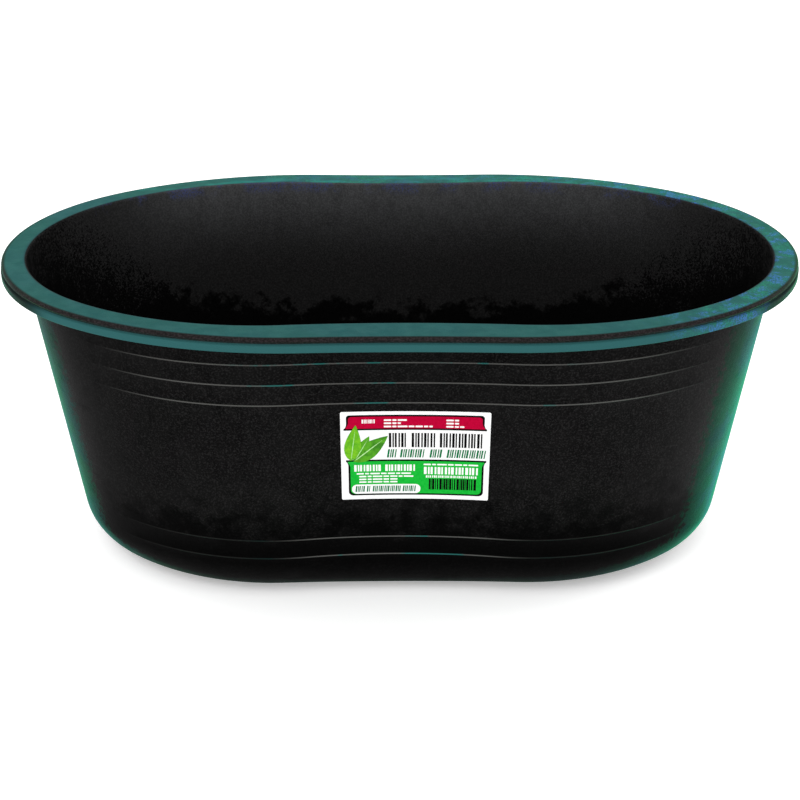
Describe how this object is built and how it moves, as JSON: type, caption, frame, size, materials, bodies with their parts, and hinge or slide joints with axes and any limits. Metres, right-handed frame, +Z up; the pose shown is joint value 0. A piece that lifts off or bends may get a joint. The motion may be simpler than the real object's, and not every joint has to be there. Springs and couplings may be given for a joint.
{
  "type": "livestock water trough",
  "caption": "Oval moulded plastic stock tank with leaning ridged walls, a turned-down rim, a blank label and a threaded drain plug.",
  "frame": {"origin": "centre of the flat underside, on the ground", "axes": "+X along the long side to the right as the label is read, -Y out of the front wall that carries the label, +Z up out of the mouth"},
  "size_m": [1.03, 0.6394, 0.405],
  "materials": {
    "tank_plastic": "matte black recycled polyethylene, with a lighter blue-green sheen on the rim",
    "label_film": "smooth printed film",
    "fitting_plastic": "moulded black plastic",
    "gasket_rubber": "matte rubber",
    "washer_plastic": "translucent white plastic",
    "seal_rubber": "red-brown rubber",
    "plug_plastic": "dark teal moulded plastic"
  },
  "bodies": {
    "tank": {"tank_shell": "tank_plastic", "label_sheet": "label_film", "drain_fitting": "fitting_plastic", "flange_gasket": "gasket_rubber", "slip_washer": "washer_plastic", "drain_locknut": "fitting_plastic"},
    "seal": {"plug_seal": "seal_rubber"},
    "plug": {"drain_plug": "plug_plastic"}
  },
  "joints": [
    {"name": "plug_travel", "type": "slide", "parent": "tank", "child": "seal", "axis": [0, 0.9893, -0.1461], "range_m": [0, 0.012]},
    {"name": "plug_turn", "type": "hinge", "parent": "seal", "child": "plug", "pos_m": [0, 0.22002, 0.072], "axis": [0, 0.9893, -0.1461], "range_deg": [0, 1440]}
  ],
  "couplings": [
    {"joint": "plug_travel", "follows": "plug_turn", "m_per_rad": 0.00047746}
  ]
}
